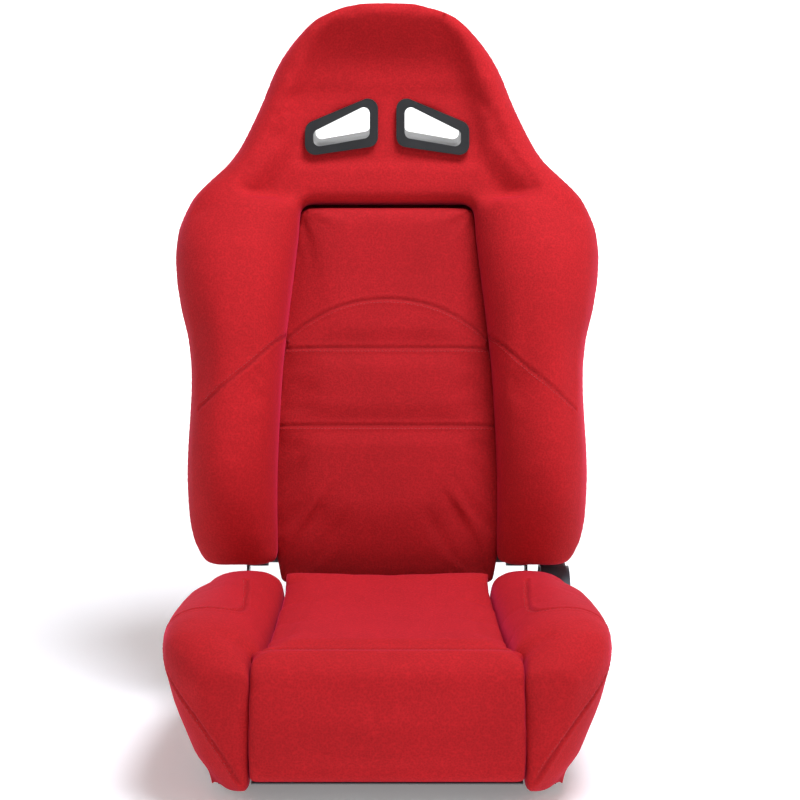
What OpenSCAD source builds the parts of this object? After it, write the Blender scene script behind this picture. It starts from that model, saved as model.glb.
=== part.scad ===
// Reclining racing seat: steel base with springs, moulded pads, a backrest frame that turns on a
// recliner at the right and a pivot at the left, and a release lever.
// +X is the sitter's left (right in a front view), the seat faces -Y, +Z is up. The origin is the
// centre of the four base bolt holes, in the plane that the base stands on.

/* [Overall] */
// Width across the shoulder bolsters
shoulder_w = 550; // [500:1:640]
// Width across the hip end of the backrest
hip_w = 512; // [490:1:580]
// Width of the narrow part of the backrest
waist_w = 502; // [480:1:570]
// Width across the head, beside the harness slots
head_w = 330; // [320:1:380]
// Length of the backrest from its hinge to the crown
crown_s = 780; // [740:1:900]
// Width across the cushion bolsters
cushion_w = 520; // [500:1:620]
// Distance from the hinge line to the front of the cushion
cushion_reach = 473; // [450:1:560]

/* [Recline] */
// Height of the hinge line above the base
hinge_z = 115; // [110:1:130]
// Distance of the hinge line behind the bolt pattern's centre
hinge_y = 215; // [205:1:230]
// Tilt of the backrest from upright at rest
recline = 17; // [12:1:25]
// Radius of the recliner's disc
disc_r = 34; // [32:0.5:38]
// Radial clearance of the turning fits
fit = 0.05; // [0.02:0.01:0.1]
// Stroke of each locking pawl
pawl_stroke = 2; // [1:0.1:2.5]
// Lift of the release lever in degrees
lever_lift = 30; // [20:1:40]

/* [Base] */
// Distance between the outer faces of the side plates
base_w = 398; // [380:1:420]
// Thickness of the side plates and backrest arms
plate_t = 3; // [2:0.5:4]
// Height of the side plates below the cushion bolsters
plate_h = 70; // [60:1:80]
// Bolt spacing across the seat
bolt_x = 360; // [320:1:360]
// Bolt spacing along the seat
bolt_y = 270; // [240:1:280]
// Radius of the bolt holes
bolt_r = 4; // [3:0.5:5]
// Radius of the cross tubes
cross_r = 11; // [9:0.5:13]
// Radius of the spring wire
wire_r = 1.9; // [1.5:0.1:2.2]

/* [Cushion] */
// Height of the cushion's top at the bite line
top_rear_z = 175; // [168:1:185]
// Height of the cushion's top at the front seam
top_front_z = 177; // [168:1:190]
// Width of the centre pad at the rear
pad_rear_w = 260; // [240:1:280]
// Width of the centre pad at the front
pad_front_w = 292; // [270:1:300]
// Width of the front roll
roll_w = 314; // [300:1:330]
// Height of the cushion bolsters above the centre pad
bolster_rise = 30; // [20:1:45]

/* [Backrest] */
// Radius of the frame tubes
tube_r = 12.5; // [11:0.5:14]
// Wall of the frame tubes
tube_wall = 2; // [1.5:0.1:2.5]
// Width of the centre pad at its top
insert_top_w = 226; // [200:1:236]
// Width of the centre pad at the hips
insert_hip_w = 290; // [270:1:292]
// Height of the centre pad's top edge along the back
insert_top_s = 518; // [480:1:530]
// Reach of the side bolsters in front of the frame
bolster_reach = 148; // [120:1:170]
// Thickness of the rear panel
rear_t = 7; // [5:0.5:9]

/* [Harness slots] */
// Height of the slots' centre above the base
slot_z = 738; // [730:1:745]
// Distance from the middle of the seat to the slots' inner edge
slot_x = 23; // [20:1:30]
// Length of each slot
slot_l = 74; // [60:1:78]
// Height of each slot at its inner end
slot_h = 40; // [34:1:44]
// how far the slot's outer end is below its inner end
slot_drop = 19; // [0:1:22]
// Width of the moulded rim around each slot
rim_w = 11; // [7:0.5:12]
// Wall of the moulded sleeve
sleeve_t = 2.5; // [2:0.1:3.5]

/* [Hidden] */
$fn = 48;
RED = "#b22329";
RED_SHADE = "#8d1d22";
STEEL = "#33363a";
ZINC = "#a9adb0";
BLACK = "#1b1d1f";
SLATE = "#46525a";

gap = 0.5;                                  // parting gap between neighbouring pads
plate_x = base_w / 2 - plate_t;             // inner face of a base side plate
recliner_w = 12;                            // space for the recliner between arm and base plate
arm_x = plate_x - recliner_w - plate_t;     // inner face of a backrest arm
tube_x = arm_x - tube_r;                    // centre line of a backrest upright
lobe_r = disc_r + 8;                        // round end of the plates about the hinge line
cover_r = lobe_r + 15;                      // recliner cover about the hinge line
cover_x0 = plate_x + plate_t + 1;
cover_x1 = cover_x0 + 38;
shaft_r = 5;
cushion_front = hinge_y - cushion_reach;    // foremost face of the front roll
sweep_r = 82;                               // room that the turning backrest needs
plate_front = -bolt_y / 2 - 15;
plate_rear = hinge_y + 35;
tube_front_y = plate_front + cross_r + 1;
tube_rear_y = 120;
tube_z = 40;
spring_z = tube_z + cross_r + wire_r + 0.1;
foam_z = spring_z + wire_r + 3;             // underside of the centre pad
roll_rear = cushion_front + 68;             // joint between centre pad and front roll
roll_z = 34.5;                              // underside of the front roll
back_wire_r = 1.6;                          // wire of the backrest springs
frame_front = -(tube_r + 2 * back_wire_r + 4.3);  // pads lie in front of this plane of the backrest
frame_rear = tube_r + 13.5;                 // and the rear panel behind this one
back_low = cover_r + 5;                     // lower end of the outer backrest pads
tip_drop = 13;                              // their front corners reach this much lower
head_low = insert_top_s + 7;                // joint between bolsters and head pad
bow_s = 704;                                // centre line of the frame's top bar
bow_x = 122;
bow_bend = 40;
upright_top = 470;
waist_s = 285;
shoulder_s = 452;
neck_s = 582;
head_s = 653;

// ---- interpolation through a few design points [[where, value], ...] ----
function span(t, k, i = 0) = i >= len(t) - 2 || k <= t[i + 1][0] ? i : span(t, k, i + 1);
function rate(t, i) =
  let (a = max(i - 1, 0), b = min(i + 1, len(t) - 1)) (t[b][1] - t[a][1]) / (t[b][0] - t[a][0]);
function curve(t, k) =
  let (i = span(t, k), h = t[i + 1][0] - t[i][0], u = (k - t[i][0]) / h)
  (2 * u ^ 3 - 3 * u ^ 2 + 1) * t[i][1] + (u ^ 3 - 2 * u ^ 2 + u) * h * rate(t, i)
  + (3 * u ^ 2 - 2 * u ^ 3) * t[i + 1][1] + (u ^ 3 - u ^ 2) * h * rate(t, i + 1);
function mix(a, b, u) = a + (b - a) * u;
function steps(a, b, n) = [for (i = [0:n]) mix(a, b, i / n)];
function arc(cx, cy, r, a0, a1, n) =
  [for (i = [0:n]) let (a = mix(a0, a1, i / n)) [cx + r * cos(a), cy + r * sin(a)]];

// ---- the backrest's outline and surfaces, along s (up the back) ----
back_outline = [[back_low, hip_w / 2 - 22], [back_low + 22, hip_w / 2 - 10],
  [back_low + 50, hip_w / 2 - 3], [172, hip_w / 2], [waist_s, waist_w / 2],
  [waist_s + 55, waist_w / 2 + 4], [shoulder_s - 60, shoulder_w / 2 - 7],
  [shoulder_s, shoulder_w / 2], [shoulder_s + 48, shoulder_w / 2 - 6],
  [shoulder_s + 75, shoulder_w / 2 - 20], [neck_s - 30, head_w / 2 + 66],
  [neck_s, head_w / 2 + 36], [head_s, head_w / 2], [crown_s - 75, head_w / 2 - 21],
  [crown_s - 37, head_w / 2 - 49], [crown_s - 14, head_w / 2 - 80], [crown_s, 30]];
insert_outline = [[30, insert_hip_w / 2 - 8], [90, insert_hip_w / 2 - 1],
  [180, insert_hip_w / 2], [330, insert_hip_w / 2 - 9], [insert_top_s, insert_top_w / 2]];
insert_front = [[30, -42], [60, -58], [85, -65], [130, -69], [300, -65],
  [430, -57], [insert_top_s, -60]];
crest_front = [[back_low, -80], [90, -110], [150, 2 - bolster_reach], [300, -bolster_reach],
  [430, 8 - bolster_reach], [head_low, -104]];
head_front = [[head_low, -63], [620, -63], [685, -64], [722, -76], [755, -95], [crown_s, -108]];
head_rim = [[head_low, -104], [600, -88], [680, -90], [740, -102], [crown_s, -112]];
rear_face = [[0, frame_rear], [680, frame_rear], [705, 23], [728, 12], [748, -10],
  [766, -40], [crown_s, -84]];
// rows of points that the head pad and the rear panel share
head_rows = concat(steps(head_low, bow_s, 10), steps(bow_s + 5, bow_s + tube_r + 4, 3),
  steps(bow_s + tube_r + 6, crown_s, 6));
function back_half(s) = curve(back_outline, s);
function insert_half(s) = curve(insert_outline, s);

// places a shape given as x, rearward depth and height along the back
module on_back() {
  translate([0, hinge_y, hinge_z]) rotate([-recline, 0, 0]) children();
}

module at_hinge(x) {
  translate([x, hinge_y, hinge_z]) rotate([0, 90, 0]) children();
}

module mirrored() {
  mirror([1, 0, 0]) children();
}

// closed solid between two matching grids of points, outer[row][column] and inner[row][column]
module pad(outer, inner) {
  rows = len(outer);
  cols = len(outer[0]);
  n = rows * cols;
  function at(r, c, side) = side * n + r * cols + c;
  function cell(a, b, c, d) = [[a, b, c], [a, c, d]];
  faces = [for (
    r = [0:rows - 2], c = [0:cols - 2],
    f = concat(
      cell(at(r, c, 0), at(r + 1, c, 0), at(r + 1, c + 1, 0), at(r, c + 1, 0)),
      cell(at(r, c, 1), at(r, c + 1, 1), at(r + 1, c + 1, 1), at(r + 1, c, 1)))) f];
  ends = [for (
    c = [0:cols - 2],
    f = concat(
      cell(at(0, c, 0), at(0, c + 1, 0), at(0, c + 1, 1), at(0, c, 1)),
      cell(at(rows - 1, c, 0), at(rows - 1, c, 1), at(rows - 1, c + 1, 1), at(rows - 1, c + 1, 0)))) f];
  sides = [for (
    r = [0:rows - 2],
    f = concat(
      cell(at(r, 0, 0), at(r, 0, 1), at(r + 1, 0, 1), at(r + 1, 0, 0)),
      cell(at(r, cols - 1, 0), at(r + 1, cols - 1, 0), at(r + 1, cols - 1, 1), at(r, cols - 1, 1)))) f];
  points = [for (grid = [outer, inner], row = grid, p = row) p];
  polyhedron(points, concat(faces, ends, sides), convexity = 6);
}

// ---- tubes and wires that bend in one plane ----
module ring_2d(r, wall) {
  difference() {
    circle(r);
    if (wall > 0) circle(r - wall);
  }
}

// steps: [[straight length, bend angle towards -x, bend radius], ...], starting along +z.
// A place on the tube is [x, z, heading]; heading 0 is +z and 90 is -x.
function across(h) = [-cos(h), -sin(h)];
function ahead(p, l) = [p[0] - l * sin(p[2]), p[1] + l * cos(p[2]), p[2]];
function turned(p, angle, bend) =
  let (side = angle < 0 ? -1 : 1, v = side * bend * (across(p[2]) - across(p[2] + angle)))
  [p[0] + v[0], p[1] + v[1], p[2] + angle];
function place(steps, i) = i == 0 ? [0, 0, 0]
  : turned(ahead(place(steps, i - 1), steps[i - 1][0]), steps[i - 1][1], steps[i - 1][2]);

module bent_tube(steps, r, wall = 0) {
  for (i = [0:len(steps) - 1]) {
    p = place(steps, i);
    q = ahead(p, steps[i][0]);
    angle = steps[i][1];
    bend = steps[i][2];
    side = angle < 0 ? -1 : 1;
    translate([p[0], 0, p[1]]) rotate([0, -p[2], 0]) linear_extrude(steps[i][0]) ring_2d(r, wall);
    if (angle != 0)
      translate([q[0], 0, q[1]]) rotate([0, -q[2], 0]) translate([-side * bend, 0, 0])
        rotate([90, 0, 0]) scale([side, 1, side]) rotate_extrude(angle = abs(angle))
          translate([bend, 0]) ring_2d(r, wall);
  }
}

// zig-zag spring: legs across its width, joined by half turns, progressing along +z
function zigzag(width, pitch, legs, lead) =
  let (leg = width - pitch)
  concat([[lead, 90, pitch / 2], [leg / 2, -180, pitch / 2]],
    [for (i = [1:legs - 2]) [leg, (i % 2 == 1 ? 180 : -180), pitch / 2]],
    [[leg / 2, (legs % 2 == 1 ? -90 : 90), pitch / 2], [lead, 0, 1]]);

// ================= base =================
module side_plate_2d() {
  translate([hinge_y, hinge_z]) circle(lobe_r);
  polygon([[plate_front, 0], [plate_front, plate_h - 14], [plate_front + 14, plate_h],
    [hinge_y - lobe_r - 18, plate_h], [hinge_y - lobe_r, hinge_z], [hinge_y, hinge_z],
    [hinge_y + lobe_r, hinge_z], [plate_rear, 22], [plate_rear, 0]]);
}

module base_side_plate(bore) {
  difference() {
    union() {
      translate([plate_x, 0, 0]) rotate([90, 0, 90]) linear_extrude(plate_t) side_plate_2d();
      translate([bolt_x / 2 - 15, plate_front, 0])
        cube([plate_x - bolt_x / 2 + 15, plate_rear - plate_front, plate_t]);
    }
    for (y = [-1, 1]) translate([bolt_x / 2, y * bolt_y / 2, -1]) cylinder(h = plate_t + 2, r = bolt_r);
    at_hinge(plate_x - 1) cylinder(h = plate_t + 2, r = bore);
    for (y = [-60, 45]) translate([plate_x - 1, y, 42]) rotate([0, 90, 0]) cylinder(h = plate_t + 2, r = 11);
  }
}

module base_side_plate_right() {
  color(STEEL) base_side_plate(shaft_r + fit);
}

module base_side_plate_left() {
  color(STEEL) mirrored() base_side_plate(spindle_r);
}

module cross_tube(y) {
  translate([-plate_x, y, tube_z]) rotate([0, 90, 0]) linear_extrude(2 * plate_x) ring_2d(cross_r, tube_wall);
}

module front_cross_tube() {
  color(STEEL) cross_tube(tube_front_y);
}

module rear_cross_tube() {
  color(STEEL) cross_tube(tube_rear_y);
}

pan_t = 1.5;
pan_w = roll_w - 4;
module front_pan() {
  y0 = cushion_front + 16;
  y1 = tube_front_y;
  color(STEEL) difference() {
    translate([-pan_w / 2, y0, roll_z - pan_t]) cube([pan_w, y1 - y0, pan_t]);
    translate([-pan_w, y1, tube_z]) rotate([0, 90, 0]) cylinder(h = 2 * pan_w, r = cross_r);
    for (i = [-2:2])
      translate([i * 56, (y0 + y1) / 2 - 4, roll_z - pan_t - 1]) cylinder(h = pan_t + 2, r = 14);
  }
}

module weld_nuts() {
  color(ZINC) for (x = [-1, 1], y = [-1, 1]) translate([x * bolt_x / 2, y * bolt_y / 2, plate_t])
    difference() {
      cylinder(h = 7, r = 7.5, $fn = 6);
      translate([0, 0, -1]) cylinder(h = 9, r = bolt_r);
    }
}

seat_spring_x = [-108, -36, 36, 108];
spring_pitch = 22;
spring_w = 44;
spring_legs = 9;
spring_span = tube_rear_y - tube_front_y;
spring_lead = (spring_span + 8 - spring_pitch * spring_legs) / 2;
module seat_springs() {
  color(ZINC) for (x = seat_spring_x)
    translate([x, tube_front_y - 4, spring_z]) rotate([-90, 0, 0])
      bent_tube(zigzag(spring_w, spring_pitch, spring_legs, spring_lead), wire_r);
}

module spring_clip(w = 12, l = 9) {
  h = 2 * wire_r + 2;
  difference() {
    translate([-w / 2, -l / 2, -wire_r - 0.1]) cube([w, l, h]);
    translate([0, -l, 0]) rotate([-90, 0, 0]) cylinder(h = 2 * l, r = wire_r + 0.1);
    translate([-wire_r - 0.1, -l, -h]) cube([2 * wire_r + 0.2, 2 * l, h]);
  }
}

module spring_hooks() {
  color(STEEL) for (x = seat_spring_x, y = [tube_front_y, tube_rear_y])
    translate([x, y, spring_z]) spring_clip();
}

// ================= cushion =================
function top_z(y) = mix(top_rear_z, top_front_z, (hinge_y - sweep_r - y) / (cushion_reach - sweep_r));

module seat_insert_pad() {
  r0 = sqrt(sweep_r ^ 2 - (top_rear_z - hinge_z) ^ 2);
  color(RED) intersection() {
    translate([-300, 0, 0]) rotate([90, 0, 90]) linear_extrude(600) difference() {
      polygon(concat([[roll_rear + gap, foam_z]], [[roll_rear + gap, top_z(roll_rear)]],
        [[-20, top_z(-20) - 3], [90, top_rear_z - 2], [hinge_y - r0, top_rear_z], [hinge_y, foam_z]]));
      translate([hinge_y, hinge_z]) circle(sweep_r);
    }
    linear_extrude(400) polygon([[-pad_front_w / 2, roll_rear], [pad_front_w / 2, roll_rear],
      [pad_rear_w / 2, hinge_y], [-pad_rear_w / 2, hinge_y]]);
  }
}

module seat_front_roll() {
  r = 26;
  low = 14;
  y0 = cushion_front;
  color(RED) translate([-roll_w / 2, 0, 0]) rotate([90, 0, 90]) linear_extrude(roll_w) polygon(concat(
    [[roll_rear - 2 * gap, roll_z], [roll_rear - 2 * gap, top_front_z]],
    arc(y0 + r + 8, top_front_z - r, r, 90, 170, 8),
    [[y0, 110]],
    arc(y0 + low + 6, roll_z + low, low, 190, 270, 5)));
}

// outline of a cushion bolster: plan (along y), crest height and side (over z)
bolster_plan = [[cushion_front + 8, cushion_w / 2 - 48], [-226, cushion_w / 2 - 22],
  [-190, cushion_w / 2 - 5], [-130, cushion_w / 2], [-40, cushion_w / 2 - 4],
  [60, cushion_w / 2 - 14], [150, cushion_w / 2 - 28]];
bolster_crest = [[cushion_front + 8, top_front_z - 9], [-215, top_front_z + bolster_rise - 12],
  [-150, top_front_z + bolster_rise], [-40, top_rear_z + bolster_rise - 4],
  [110, top_rear_z + 14], [150, top_rear_z + 8]];
// where the crest runs between the inner and the outer side
crest_share = [[cushion_front, 0.55], [-40, 0.55], [60, 0.45], [150, 0.4]];
bolster_side = [[0, -70], [20, -58], [50, -34], [80, -22], [110, -10], [150, -1], [170, 0]];

module seat_bolster() {
  rows = concat(steps(cushion_front + 8, roll_rear - gap, 5), steps(roll_rear + gap, 150, 12));
  inner_cols = 6;
  side_z = [150, 120, 95, 70, 45, 25];
  square = 0.8;                             // 1 is a round outer corner, less is a squarer one
  function low_z(y) = y < plate_front ? mix(28, 12, min(1, (y - cushion_front) / 55)) : 38;
  function inner_x(y) = y < roll_rear ? roll_w / 2 + gap
    : mix(pad_front_w, pad_rear_w, (y - roll_rear) / (hinge_y - roll_rear)) / 2 + gap;
  function under_x(y) = y < roll_rear ? inner_x(y) + 0.5 : plate_x + plate_t + 2;
  function under_z(y) = y < roll_rear ? 60 : plate_h + 3;
  function outer_row(y) =
    let (xi = inner_x(y), xo = curve(bolster_plan, y), zc = curve(bolster_crest, y),
         zt = top_z(y) - 14, xc = mix(xi, xo, curve(crest_share, y)), zw = 152, zl = low_z(y))
    concat([for (i = [0:inner_cols]) let (a = 15 * i) [xc - (xc - xi) * cos(a), y, zt + (zc - zt) * sin(a)]],
      [for (i = [1:5]) let (a = 18 * i)
        [xc + (xo - xc) * sin(a) ^ square, y, zw + (zc - zw) * cos(a) ^ square]],
      [for (z = side_z) let (zz = mix(zl, zw, z / 160))
        [max(xo + curve(bolster_side, zz), under_x(y) + 5), y, zz]],
      [[max(xo + curve(bolster_side, zl), under_x(y) + 3), y, zl]]);
  function inner_row(y) =
    let (xi = inner_x(y), ux = under_x(y), uz = under_z(y), zl = low_z(y), n = inner_cols + 12)
    concat([for (i = [0:inner_cols]) [mix(xi, ux, i / inner_cols), y, uz]],
      [for (i = [inner_cols + 1:n]) [ux, y, mix(uz, zl, (i - inner_cols) / (n - inner_cols))]]);
  pad([for (y = rows) outer_row(y)], [for (y = rows) inner_row(y)]);
}

module seat_bolster_right() {
  color(RED) seat_bolster();
}

module seat_bolster_left() {
  color(RED) mirrored() seat_bolster();
}

// ================= recliner, right side =================
disc_x = plate_x - 6;                       // inner face of the guide disc
seg_x = arm_x + plate_t + 2.5;              // inner face of the pawls' guides
ring_x = arm_x + plate_t;
pawl_w = 14;
pawl_tip = disc_r - 0.6;
cam_hi = 14;
cam_lo = cam_hi - pawl_stroke;
cam_gap = 0.4;
nose_r = 2;

module recliner_guide_disc() {
  color(ZINC) difference() {
    union() {
      at_hinge(disc_x) cylinder(h = 3, r = disc_r);
      at_hinge(disc_x) cylinder(h = plate_x - disc_x, r = disc_r - 3);
      intersection() {
        at_hinge(seg_x) cylinder(h = disc_x - seg_x, r = disc_r);
        union() for (y = [-1, 1])
          translate([seg_x, hinge_y + y * (pawl_w / 2 + fit) + (y < 0 ? -40 : 0), hinge_z - 50])
            cube([10, 40, 100]);
      }
    }
    at_hinge(seg_x - 1) cylinder(h = 20, r = shaft_r + fit);
    at_hinge(seg_x - 1) cylinder(h = disc_x - seg_x + 1, r = cam_hi + 2);
  }
}

module recliner_pawl(way) {
  low = cam_hi + cam_gap + nose_r;
  translate([0, hinge_y, hinge_z]) scale([1, 1, way]) {
    intersection() {
      translate([seg_x + 0.2, -pawl_w / 2, low + 2]) cube([disc_x - seg_x - 0.4, pawl_w, 40]);
      rotate([0, 90, 0]) cylinder(h = 400, r = pawl_tip);
    }
    translate([seg_x + 0.2, 0, low]) rotate([0, 90, 0]) cylinder(h = disc_x - seg_x - 0.4, r = nose_r);
    translate([seg_x + 0.2, -nose_r, low]) cube([disc_x - seg_x - 0.4, 2 * nose_r, 3]);
  }
}

module recliner_pawl_upper() {
  color(ZINC) recliner_pawl(1);
}

module recliner_pawl_lower() {
  color(ZINC) recliner_pawl(-1);
}

module recliner_ring() {
  color(ZINC) at_hinge(ring_x) difference() {
    cylinder(h = disc_x + 3 + 0.1 - ring_x, r = disc_r + 6);
    translate([0, 0, -1]) cylinder(h = 20, r = disc_r + fit);
  }
}

module recliner_retainer() {
  color(ZINC) at_hinge(disc_x + 3.1) difference() {
    cylinder(h = plate_x - disc_x - 3.4, r = disc_r + 6);
    translate([0, 0, -1]) cylinder(h = 10, r = disc_r - 2.7);
  }
}

// two spiral lobes: the radius under each pawl falls by the stroke over the lever's lift
function cam_radius(a) = let (b = (a + 360) % 180 - 90)
  b < -12 ? mix(cam_lo - 1.5, cam_hi + 0.8, (b + 90) / 78)
  : b < lever_lift + 12 ? cam_hi - pawl_stroke * b / lever_lift
  : cam_lo - 1.5 + 0.7 * (90 - b) / (78 - lever_lift);

module recliner_cam() {
  color(STEEL) at_hinge(seg_x + 0.3) difference() {
    linear_extrude(disc_x - seg_x - 0.6)
      polygon([for (a = [0:6:354]) cam_radius(a + cam_turn) * [cos(a), sin(a)]]);
    translate([0, 0, -1]) cylinder(h = 10, r = shaft_r);
  }
}
cam_turn = 90;

shaft_x0 = seg_x - 1;
shaft_x1 = cover_x1 + 16;
module lever_shaft() {
  color(ZINC) at_hinge(shaft_x0) difference() {
    cylinder(h = shaft_x1 - shaft_x0, r = shaft_r);
    translate([0, 0, shaft_x1 - shaft_x0 - 12]) cylinder(h = 13, r = 2.5);
  }
}

lever_x = cover_x1 + 12;
lever_len = 150;
lever_drop = 6;
lever_t = 4;
module release_lever() {
  color(STEEL) difference() {
    union() {
      at_hinge(cover_x1 + 2) cylinder(h = lever_x - cover_x1 - 2, r = 11);
      translate([lever_x, hinge_y, hinge_z]) rotate([90, 0, 90]) rotate(180 + lever_drop)
        linear_extrude(lever_t) {
          translate([0, -8]) square([lever_len - 8, 16]);
          translate([lever_len - 8, 0]) circle(8);
          circle(12);
        }
    }
    at_hinge(cover_x1) cylinder(h = 20, r = shaft_r);
  }
}

module lever_grip() {
  grip_l = 78;
  color(BLACK) difference() {
    translate([lever_x - 4, hinge_y, hinge_z]) rotate([90, 0, 90]) rotate(180 + lever_drop)
      translate([lever_len - grip_l + 8, 0]) linear_extrude(lever_t + 8) {
        translate([0, -12]) square([grip_l - 12, 24]);
        translate([grip_l - 12, 0]) circle(12);
        circle(12);
      }
    translate([lever_x, hinge_y, hinge_z]) rotate([90, 0, 90]) rotate(180 + lever_drop)
      linear_extrude(lever_t) {
        translate([lever_len / 3, -8]) square([lever_len - 8 - lever_len / 3, 16]);
        translate([lever_len - 8, 0]) circle(8);
      }
  }
}

module lever_screw() {
  color(ZINC) at_hinge(shaft_x1 - 12) {
    cylinder(h = 12, r = 2.45);
    translate([0, 0, 12]) difference() {
      cylinder(h = 3, r = 9);
      translate([0, 0, 1]) cylinder(h = 4, r = 3, $fn = 6);
    }
  }
}

return_turns = 3;
return_r = shaft_r + 2.5;
module lever_return_spring() {
  wire = 1;
  sides = 8;
  leg = 14;
  last = 20 * return_turns;
  // a leg, the coil, and the other leg
  function route(i) = i < 0 ? [return_r, -leg, 0]
    : i > last ? [return_r, leg, 2.4 * return_turns]
    : let (a = 360 * return_turns * i / last) [return_r * cos(a), return_r * sin(a), 2.4 * return_turns * i / last];
  function ring(i) = let (a = i < 0 || i > last ? 0 : 360 * return_turns * i / last, c = route(i))
    [for (k = [0:sides - 1]) let (b = 360 * k / sides)
      c + wire * [cos(b) * cos(a), cos(b) * sin(a), sin(b)]];
  n = last + 2;
  color(ZINC) at_hinge(cover_x0 + 2) polyhedron(
    [for (i = [-1:last + 1], p = ring(i)) p],
    concat([[for (k = [0:sides - 1]) k]], [[for (k = [sides - 1:-1:0]) n * sides + k]],
      [for (i = [0:n - 1], k = [0:sides - 1]) let (k2 = (k + 1) % sides)
        [i * sides + k, (i + 1) * sides + k, (i + 1) * sides + k2, i * sides + k2]]));
}

module cover_outline(r) {
  circle(r);
  polygon([[-r, 0], [-r, -32], [-r + 22, -62], [r - 28, -62], [r, -28], [r, 0]]);
}

module recliner_cover() {
  wall = 2.5;
  color(SLATE) difference() {
    translate([cover_x0, hinge_y, hinge_z]) rotate([90, 0, 90]) difference() {
      union() {
        linear_extrude(cover_x1 - cover_x0 - 5) cover_outline(cover_r);
        linear_extrude(cover_x1 - cover_x0) cover_outline(cover_r - 5);
      }
      translate([0, 0, -1]) linear_extrude(cover_x1 - cover_x0 - 4) cover_outline(cover_r - wall - 3);
    }
    at_hinge(cover_x1 - 10) cylinder(h = 20, r = shaft_r + 0.6);
    for (p = cover_screw_at) translate([cover_x1 - 10, hinge_y + p[0], hinge_z + p[1]])
      rotate([0, 90, 0]) cylinder(h = 20, r = 2.2);
  }
}
cover_screw_at = [[-34, 22], [26, -44]];

module cover_screws() {
  color(ZINC) for (p = cover_screw_at)
    translate([plate_x + plate_t, hinge_y + p[0], hinge_z + p[1]]) rotate([0, 90, 0]) {
      cylinder(h = cover_x1 - plate_x - plate_t, r = 2);
      translate([0, 0, cover_x1 - plate_x - plate_t]) cylinder(h = 2, r = 4);
    }
}

// ================= pivot, left side =================
spindle_r = 6;
spindle_in = arm_x - 21;                    // inner end of the spindle
module pivot_spindle() {
  color(ZINC) mirrored() {
    at_hinge(spindle_in) cylinder(h = plate_x + plate_t - spindle_in, r = spindle_r);
    at_hinge(plate_x + plate_t) cylinder(h = 6, r = 10, $fn = 6);
    at_hinge(arm_x + plate_t + 2.2) cylinder(h = recliner_w - 2.2, r = 11);
  }
}

module pivot_bush() {
  color(BLACK) mirrored() difference() {
    union() {
      at_hinge(arm_x) cylinder(h = plate_t, r = 9);
      at_hinge(arm_x + plate_t) cylinder(h = 2, r = 13);
      at_hinge(arm_x - 2) cylinder(h = 2, r = 13);
    }
    at_hinge(arm_x - 10) cylinder(h = 20, r = spindle_r + fit);
  }
}

module pivot_nut() {
  color(ZINC) mirrored() at_hinge(spindle_in + 1) difference() {
    cylinder(h = 7, r = 10.5, $fn = 6);
    translate([0, 0, -1]) cylinder(h = 9, r = spindle_r);
  }
}

spiral_turns = 3;
spiral_x = arm_x - 12;
function spiral(a) = spindle_r + 2.2 + 17 * a / (360 * spiral_turns);
module clock_spring() {
  t = 0.8;
  angles = steps(0, 360 * spiral_turns, 24 * spiral_turns);
  color(ZINC) mirrored() translate([spiral_x, hinge_y, hinge_z]) rotate([90, 0, 90]) linear_extrude(8)
    polygon(concat([for (a = angles) (spiral(a) + t) * [cos(a), sin(a)]],
      [for (i = [len(angles) - 1:-1:0]) (spiral(angles[i]) - t) * [cos(angles[i]), sin(angles[i])]]));
}

module spring_pin() {
  color(ZINC) mirrored() translate([spiral_x, hinge_y + spiral(360 * spiral_turns) + 4, hinge_z])
    rotate([0, 90, 0]) cylinder(h = arm_x - spiral_x, r = 3);
}

// ================= backrest frame =================
arm_top = 165;
arm_bolt_s = [96, 146];
module arm_2d() {
  circle(lobe_r);
  translate([-tube_r - 5, 0]) square([2 * tube_r + 10, arm_top - 10]);
  translate([0, arm_top - 17.5]) circle(tube_r + 5);
}

module back_arm(bore) {
  on_back() difference() {
    translate([arm_x, 0, 0]) rotate([90, 0, 90]) linear_extrude(plate_t) arm_2d();
    translate([arm_x - 1, 0, 0]) rotate([0, 90, 0]) cylinder(h = plate_t + 2, r = bore);
    for (s = arm_bolt_s) translate([arm_x - 1, 0, s]) rotate([0, 90, 0]) cylinder(h = plate_t + 2, r = 4.1);
  }
}

module back_arm_right() {
  color(STEEL) back_arm(shaft_r + 1);
}

module back_arm_left() {
  color(STEEL) mirrored() back_arm(9);
}

module arm_bolts() {
  color(ZINC) on_back() for (m = [0, 1], s = arm_bolt_s) mirror([m, 0, 0])
    translate([tube_x - tube_r, 0, s]) rotate([0, 90, 0]) {
      translate([0, 0, -7]) cylinder(h = 2 * tube_r + plate_t + 7, r = 4);
      translate([0, 0, -6]) cylinder(h = 6, r = 7, $fn = 6);
      translate([0, 0, 2 * tube_r + plate_t]) cylinder(h = bolt_head, r = 7, $fn = 6);
    }
}

bolt_head = 5;
upright_low = 52;
module back_upright() {
  on_back() difference() {
    translate([tube_x, 0, upright_low]) linear_extrude(upright_top - upright_low) ring_2d(tube_r, tube_wall);
    for (s = arm_bolt_s) translate([tube_x - 20, 0, s]) rotate([0, 90, 0]) cylinder(h = 40, r = 4.1);
  }
}

module back_upright_right() {
  color(STEEL) back_upright();
}

module back_upright_left() {
  color(STEEL) mirrored() back_upright();
}

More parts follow.
